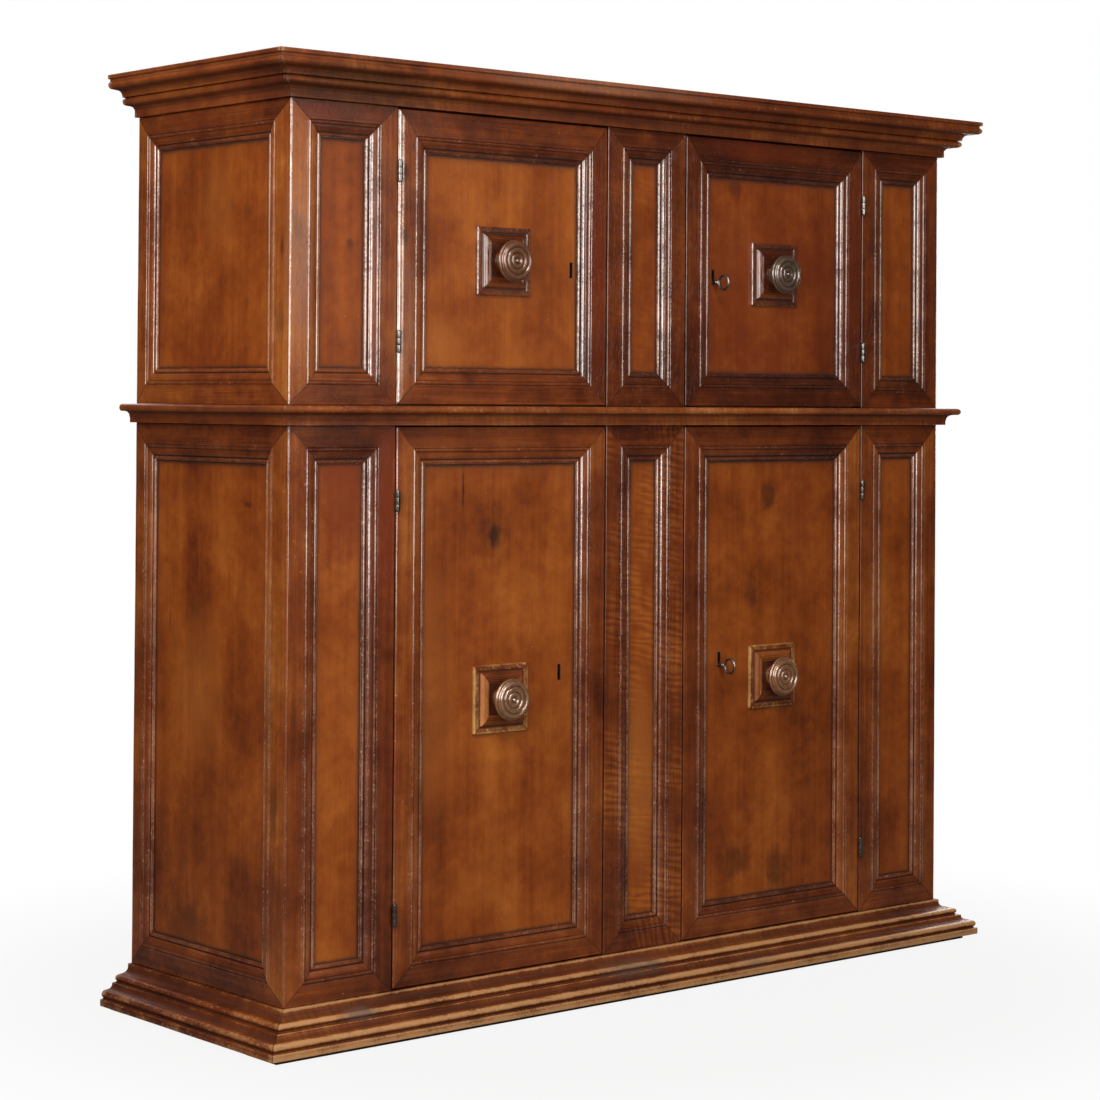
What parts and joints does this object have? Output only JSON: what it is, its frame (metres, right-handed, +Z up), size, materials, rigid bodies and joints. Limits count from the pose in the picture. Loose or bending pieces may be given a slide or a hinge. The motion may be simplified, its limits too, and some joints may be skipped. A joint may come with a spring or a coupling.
{
  "type": "two-part sideboard",
  "caption": "Walnut sideboard with an upper case on a lower one, moulded cornice, waist and plinth, framed pilasters and hinged panel doors with turned knobs, rim locks and keys.",
  "frame": {"origin": "centre of the footprint of the whole part, at the floor", "axes": "+X to the right seen from the front, +Y to the back, +Z up"},
  "size_m": [1.806, 0.576, 1.75],
  "materials": {
    "walnut_frame": "waxed dark walnut, semi-gloss",
    "walnut_panel": "waxed honey-brown walnut, semi-gloss",
    "walnut_moulding": "waxed walnut with worn golden ridges",
    "inner_wood": "plain dry wood",
    "knob_bronze": "turned bronze with brown patina",
    "hinge_steel": "bright steel",
    "lock_iron": "dark forged iron"
  },
  "bodies": {
    "carcass": {"plinth": "walnut_moulding", "waist_board": "walnut_moulding", "cornice": "walnut_moulding", "lower_floor_board": "inner_wood", "lower_back_board": "inner_wood", "lower_shelf": "inner_wood", "lower_left_side": "walnut_frame", "lower_right_side": "walnut_frame", "lower_left_pilaster": "walnut_frame", "lower_centre_pilaster": "walnut_frame", "lower_right_pilaster": "walnut_frame", "upper_floor_board": "inner_wood", "upper_back_board": "inner_wood", "upper_left_side": "walnut_frame", "upper_right_side": "walnut_frame", "upper_left_pilaster": "walnut_frame", "upper_centre_pilaster": "walnut_frame", "upper_right_pilaster": "walnut_frame", "lower_left_top_hinge_post": "hinge_steel", "lower_left_bottom_hinge_post": "hinge_steel", "lower_right_top_hinge_post": "hinge_steel", "lower_right_bottom_hinge_post": "hinge_steel", "upper_left_top_hinge_post": "hinge_steel", "upper_left_bottom_hinge_post": "hinge_steel", "upper_right_top_hinge_post": "hinge_steel", "upper_right_bottom_hinge_post": "hinge_steel"},
    "lower_left_door": {"lower_left_door_frame": "walnut_frame", "lower_left_door_panel": "walnut_panel", "lower_left_knob_plate": "walnut_moulding", "lower_left_knob": "knob_bronze", "lower_left_lock_case": "lock_iron", "lower_left_top_hinge_leaf": "hinge_steel", "lower_left_bottom_hinge_leaf": "hinge_steel"},
    "lower_right_door": {"lower_right_door_frame": "walnut_frame", "lower_right_door_panel": "walnut_panel", "lower_right_knob_plate": "walnut_moulding", "lower_right_knob": "knob_bronze", "lower_right_lock_case": "lock_iron", "lower_right_top_hinge_leaf": "hinge_steel", "lower_right_bottom_hinge_leaf": "hinge_steel"},
    "upper_left_door": {"upper_left_door_frame": "walnut_frame", "upper_left_door_panel": "walnut_panel", "upper_left_knob_plate": "walnut_moulding", "upper_left_knob": "knob_bronze", "upper_left_lock_case": "lock_iron", "upper_left_top_hinge_leaf": "hinge_steel", "upper_left_bottom_hinge_leaf": "hinge_steel"},
    "upper_right_door": {"upper_right_door_frame": "walnut_frame", "upper_right_door_panel": "walnut_panel", "upper_right_knob_plate": "walnut_moulding", "upper_right_knob": "knob_bronze", "upper_right_lock_case": "lock_iron", "upper_right_top_hinge_leaf": "hinge_steel", "upper_right_bottom_hinge_leaf": "hinge_steel"},
    "lower_left_bolt": {"lower_left_lock_bolt": "lock_iron"},
    "lower_right_bolt": {"lower_right_lock_bolt": "lock_iron"},
    "upper_left_bolt": {"upper_left_lock_bolt": "lock_iron"},
    "upper_right_bolt": {"upper_right_lock_bolt": "lock_iron"},
    "lower_right_key_body": {"lower_right_key": "lock_iron"},
    "upper_right_key_body": {"upper_right_key": "lock_iron"}
  },
  "joints": [
    {"name": "lower_left_door_hinge", "type": "hinge", "parent": "carcass", "child": "lower_left_door", "pos_m": [-0.6014, -0.2254, 0.5905], "axis": [0, 0, -1], "range_deg": [0, 150]},
    {"name": "lower_right_door_hinge", "type": "hinge", "parent": "carcass", "child": "lower_right_door", "pos_m": [0.6014, -0.2254, 0.5905], "axis": [0, 0, 1], "range_deg": [0, 150]},
    {"name": "upper_left_door_hinge", "type": "hinge", "parent": "carcass", "child": "upper_left_door", "pos_m": [-0.6014, -0.2254, 1.404], "axis": [0, 0, -1], "range_deg": [0, 150]},
    {"name": "upper_right_door_hinge", "type": "hinge", "parent": "carcass", "child": "upper_right_door", "pos_m": [0.6014, -0.2254, 1.404], "axis": [0, 0, 1], "range_deg": [0, 150]},
    {"name": "lower_right_key_turn", "type": "hinge", "parent": "lower_right_door", "child": "lower_right_key_body", "pos_m": [0.208, -0.21, 0.6195], "axis": [0, 1, 0], "range_deg": [0, 360]},
    {"name": "upper_right_key_turn", "type": "hinge", "parent": "upper_right_door", "child": "upper_right_key_body", "pos_m": [0.185, -0.21, 1.383], "axis": [0, 1, 0], "range_deg": [0, 360]},
    {"name": "lower_right_bolt_slide", "type": "slide", "parent": "lower_right_door", "child": "lower_right_bolt", "axis": [-1, 0, 0], "range_m": [0, 0.016]},
    {"name": "upper_right_bolt_slide", "type": "slide", "parent": "upper_right_door", "child": "upper_right_bolt", "axis": [-1, 0, 0], "range_m": [0, 0.016]},
    {"name": "lower_left_bolt_slide", "type": "slide", "parent": "lower_left_door", "child": "lower_left_bolt", "axis": [1, 0, 0], "range_m": [0, 0.016]},
    {"name": "upper_left_bolt_slide", "type": "slide", "parent": "upper_left_door", "child": "upper_left_bolt", "axis": [1, 0, 0], "range_m": [0, 0.016]}
  ],
  "couplings": [
    {"joint": "lower_right_key_turn", "follows": "lower_right_bolt_slide", "rad_per_m": 392.6},
    {"joint": "upper_right_key_turn", "follows": "upper_right_bolt_slide", "rad_per_m": 392.6}
  ]
}
